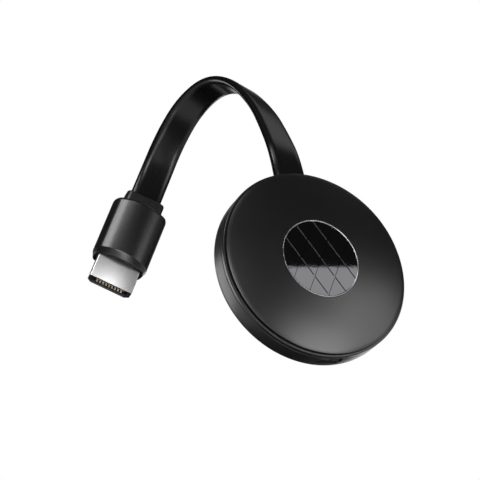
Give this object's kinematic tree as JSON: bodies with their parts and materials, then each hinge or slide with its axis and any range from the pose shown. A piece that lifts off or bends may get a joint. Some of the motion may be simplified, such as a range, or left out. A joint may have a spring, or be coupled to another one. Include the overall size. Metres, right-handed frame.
{
  "type": "wireless display dongle",
  "caption": "Round puck-shaped wireless display receiver with a domed gloss face, a short flat cable and a display plug.",
  "frame": {"origin": "middle of the display plug's mouth", "axes": "+Z the way the cable leaves the puck, +Y out of the puck's flat back, the domed face looks towards -Y"},
  "size_m": [0.0699, 0.0715, 0.1084],
  "materials": {
    "band_plastic": "satin",
    "ring_plastic": "satin",
    "cover_plastic": "gloss",
    "emblem_mirror": "polished",
    "bezel_chrome": "polished",
    "board": "matt",
    "zinc_steel": "satin",
    "chip": "matt",
    "silicone": "matt",
    "tin_plate": "satin",
    "gold_metal": "polished",
    "ferrite": "matt",
    "ceramic": "satin",
    "nickel_steel": "satin",
    "black_plastic": "matt",
    "white_plastic": "satin",
    "clear_plastic": "clear",
    "copper_wire": "satin",
    "grip_plastic": "satin",
    "cable_jacket": "satin"
  },
  "bodies": {
    "root": {"lower_shell": "band_plastic", "trim_ring": "ring_plastic", "top_cover": "cover_plastic", "emblem_plate": "emblem_mirror", "emblem_bezel": "bezel_chrome", "main_board": "board", "board_screws": "zinc_steel", "processor": "chip", "thermal_pad": "silicone", "heat_spreader": "tin_plate", "memory_chip": "chip", "flash_chip": "chip", "radio_board": "board", "radio_can": "tin_plate", "antenna_strip": "gold_metal", "crystal": "tin_plate", "regulator": "chip", "inductors": "ferrite", "capacitors": "ceramic", "socket_shell": "nickel_steel", "socket_blade": "black_plastic", "socket_pins": "gold_metal", "switch_body": "black_plastic", "status_lamp": "white_plastic", "light_pipe": "clear_plastic", "cable_gland": "ring_plastic", "puck_wires": "copper_wire", "plug_shell": "nickel_steel", "plug_insulator": "black_plastic", "plug_contacts": "gold_metal", "plug_board": "board", "plug_frame": "black_plastic", "plug_wires": "copper_wire", "plug_nose": "black_plastic", "plug_mould": "grip_plastic", "plug_collar": "grip_plastic", "ribbon_cable": "cable_jacket"},
    "button": {"reset_button": "band_plastic", "switch_plunger": "white_plastic"}
  },
  "joints": [
    {"name": "button_press", "type": "slide", "parent": "root", "child": "button", "axis": [-0.9272, 0, 0.3746], "range_m": [0, 0.0003], "stiffness_N_per_m": 300}
  ]
}
